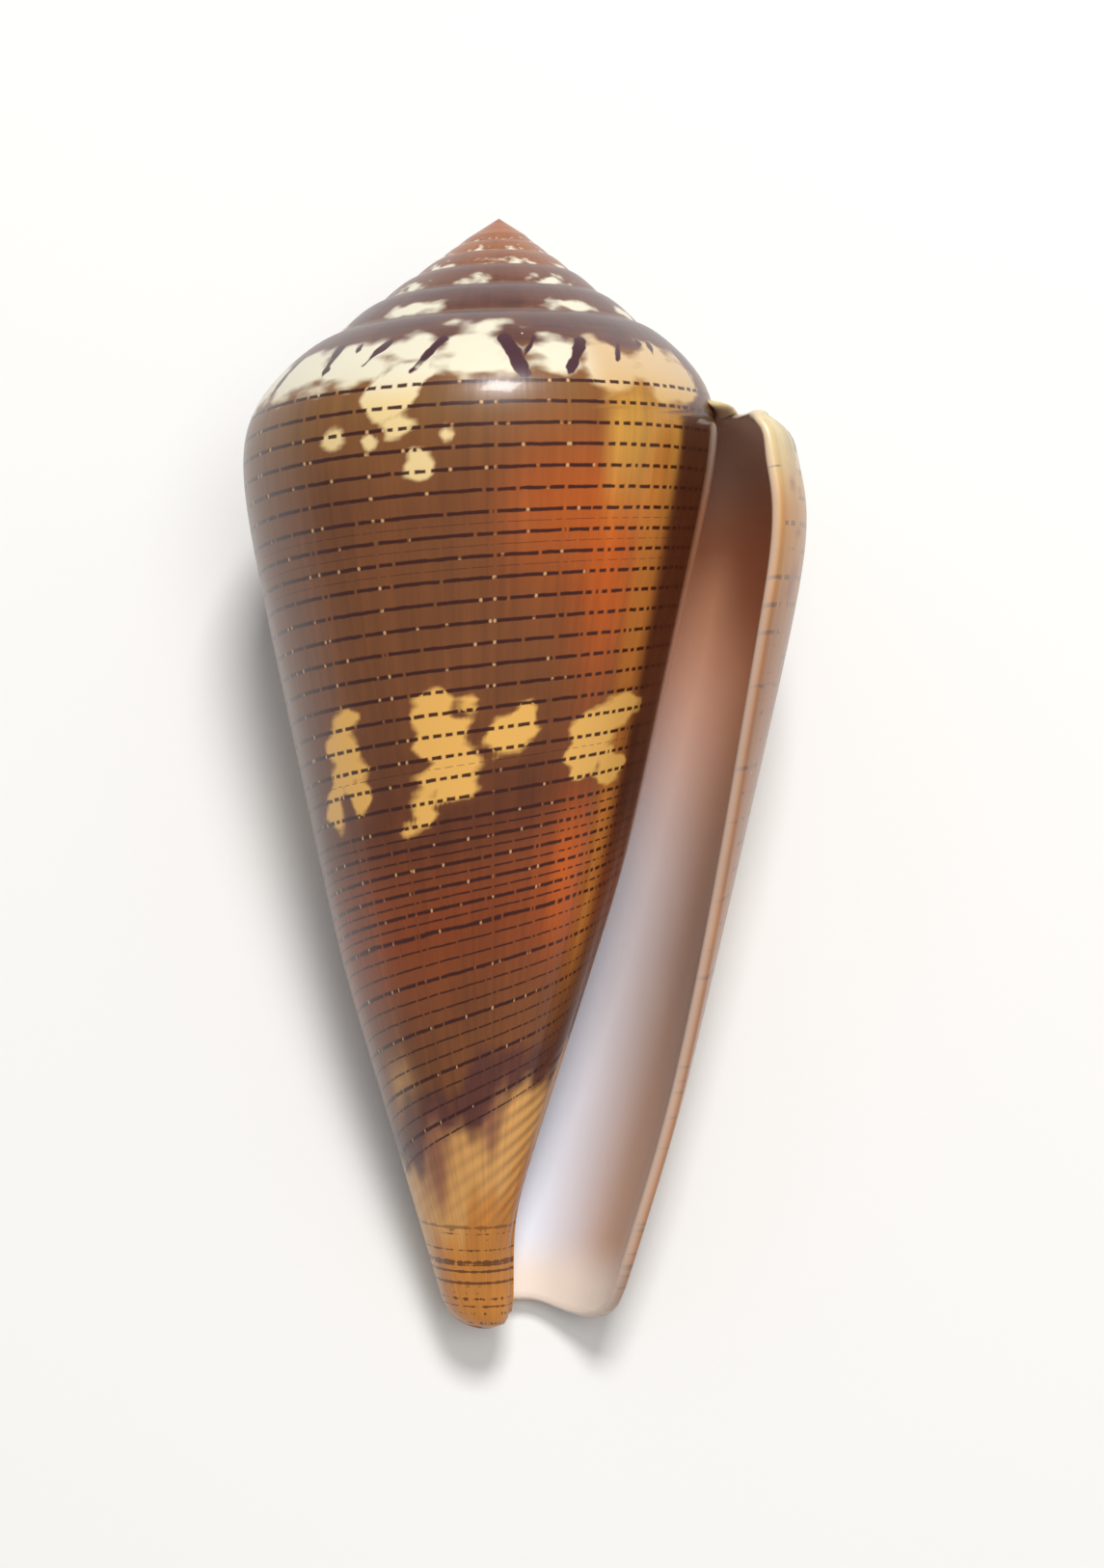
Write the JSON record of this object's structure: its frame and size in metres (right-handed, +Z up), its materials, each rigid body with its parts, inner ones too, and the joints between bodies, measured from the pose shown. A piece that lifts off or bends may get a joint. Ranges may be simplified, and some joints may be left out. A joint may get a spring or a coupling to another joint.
{
  "type": "cone shell",
  "caption": "Cone-shaped spiral sea-snail shell with a low pointed spire, straight tapering side and a long narrow opening, lying on its back with the opening up.",
  "frame": {"origin": "centre of the bounding box on the surface the shell lies on", "axes": "+Z up out of the resting surface, +Y along the shell towards the apex, +X towards the lip"},
  "size_m": [0.03, 0.058, 0.0267],
  "materials": {
    "shell": "glossy natural shell lime, chestnut brown with dark dashed spiral lines and cream patches"
  },
  "bodies": {
    "root": {"shell": "shell"}
  },
  "joints": []
}
